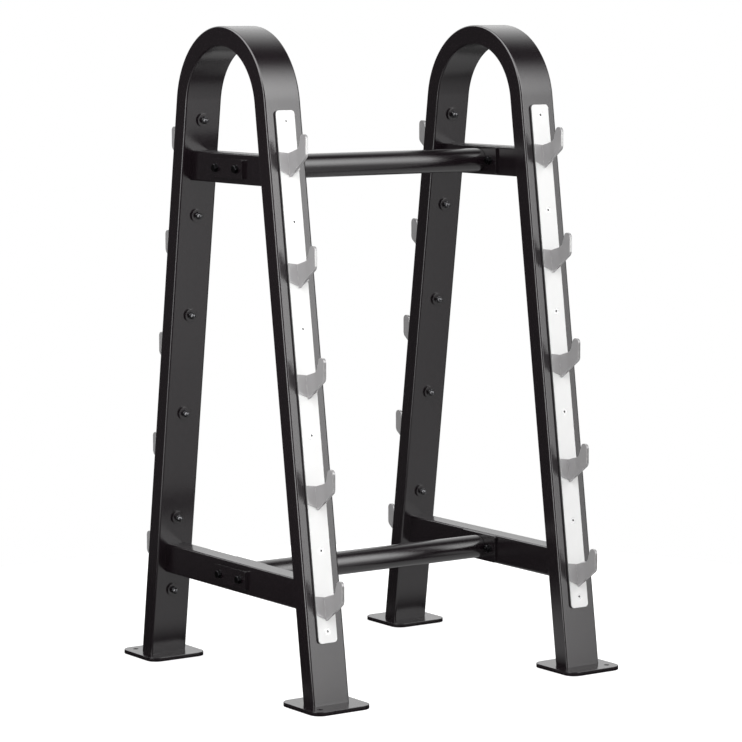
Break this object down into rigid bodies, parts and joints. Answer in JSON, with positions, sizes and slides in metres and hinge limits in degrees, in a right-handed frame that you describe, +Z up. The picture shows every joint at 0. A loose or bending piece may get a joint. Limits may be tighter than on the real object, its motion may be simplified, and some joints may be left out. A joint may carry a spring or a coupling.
{
  "type": "barbell storage rack",
  "caption": "Free-standing steel rack of arched tube frames joined by round tie tubes, with hook cradles up the front and rear legs for fixed barbells.",
  "frame": {"origin": "on the floor under the middle of the rack", "axes": "+X along the tie tubes, towards the right frame; +Y to the rear; +Z up"},
  "size_m": [0.903, 0.8996, 1.573],
  "materials": {
    "black_powder_coat": "semi-gloss black powder coat with a fine orange-peel texture",
    "grey_powder_coat": "satin mid-grey powder coat",
    "white_strip_face": "smooth satin white wear face",
    "fastener_steel": "dark zinc-plated steel with bright worn edges"
  },
  "bodies": {
    "root": {"left_arch_frame": "black_powder_coat", "left_upper_cross_member": "black_powder_coat", "left_lower_cross_member": "black_powder_coat", "left_front_foot_plate": "black_powder_coat", "left_front_strip_backing": "black_powder_coat", "left_front_strip_face": "white_strip_face", "left_front_cradle_1": "grey_powder_coat", "left_front_cradle_2": "grey_powder_coat", "left_front_cradle_3": "grey_powder_coat", "left_front_cradle_4": "grey_powder_coat", "left_front_cradle_5": "grey_powder_coat", "left_rear_foot_plate": "black_powder_coat", "left_rear_strip_backing": "black_powder_coat", "left_rear_strip_face": "white_strip_face", "left_rear_cradle_1": "grey_powder_coat", "left_rear_cradle_2": "grey_powder_coat", "left_rear_cradle_3": "grey_powder_coat", "left_rear_cradle_4": "grey_powder_coat", "left_rear_cradle_5": "grey_powder_coat", "right_arch_frame": "black_powder_coat", "right_upper_cross_member": "black_powder_coat", "right_lower_cross_member": "black_powder_coat", "right_front_foot_plate": "black_powder_coat", "right_front_strip_backing": "black_powder_coat", "right_front_strip_face": "white_strip_face", "right_front_cradle_1": "grey_powder_coat", "right_front_cradle_2": "grey_powder_coat", "right_front_cradle_3": "grey_powder_coat", "right_front_cradle_4": "grey_powder_coat", "right_front_cradle_5": "grey_powder_coat", "right_rear_foot_plate": "black_powder_coat", "right_rear_strip_backing": "black_powder_coat", "right_rear_strip_face": "white_strip_face", "right_rear_cradle_1": "grey_powder_coat", "right_rear_cradle_2": "grey_powder_coat", "right_rear_cradle_3": "grey_powder_coat", "right_rear_cradle_4": "grey_powder_coat", "right_rear_cradle_5": "grey_powder_coat", "upper_tie_tube": "black_powder_coat", "left_upper_tie_flange": "black_powder_coat", "left_upper_tie_backing_plate": "black_powder_coat", "left_upper_tie_bolt_front": "fastener_steel", "left_upper_tie_bolt_rear": "fastener_steel", "right_upper_tie_flange": "black_powder_coat", "right_upper_tie_backing_plate": "black_powder_coat", "right_upper_tie_bolt_front": "fastener_steel", "right_upper_tie_bolt_rear": "fastener_steel", "lower_tie_tube": "black_powder_coat", "left_lower_tie_flange": "black_powder_coat", "left_lower_tie_backing_plate": "black_powder_coat", "left_lower_tie_bolt_front": "fastener_steel", "left_lower_tie_bolt_rear": "fastener_steel", "right_lower_tie_flange": "black_powder_coat", "right_lower_tie_backing_plate": "black_powder_coat", "right_lower_tie_bolt_front": "fastener_steel", "right_lower_tie_bolt_rear": "fastener_steel"}
  },
  "joints": []
}
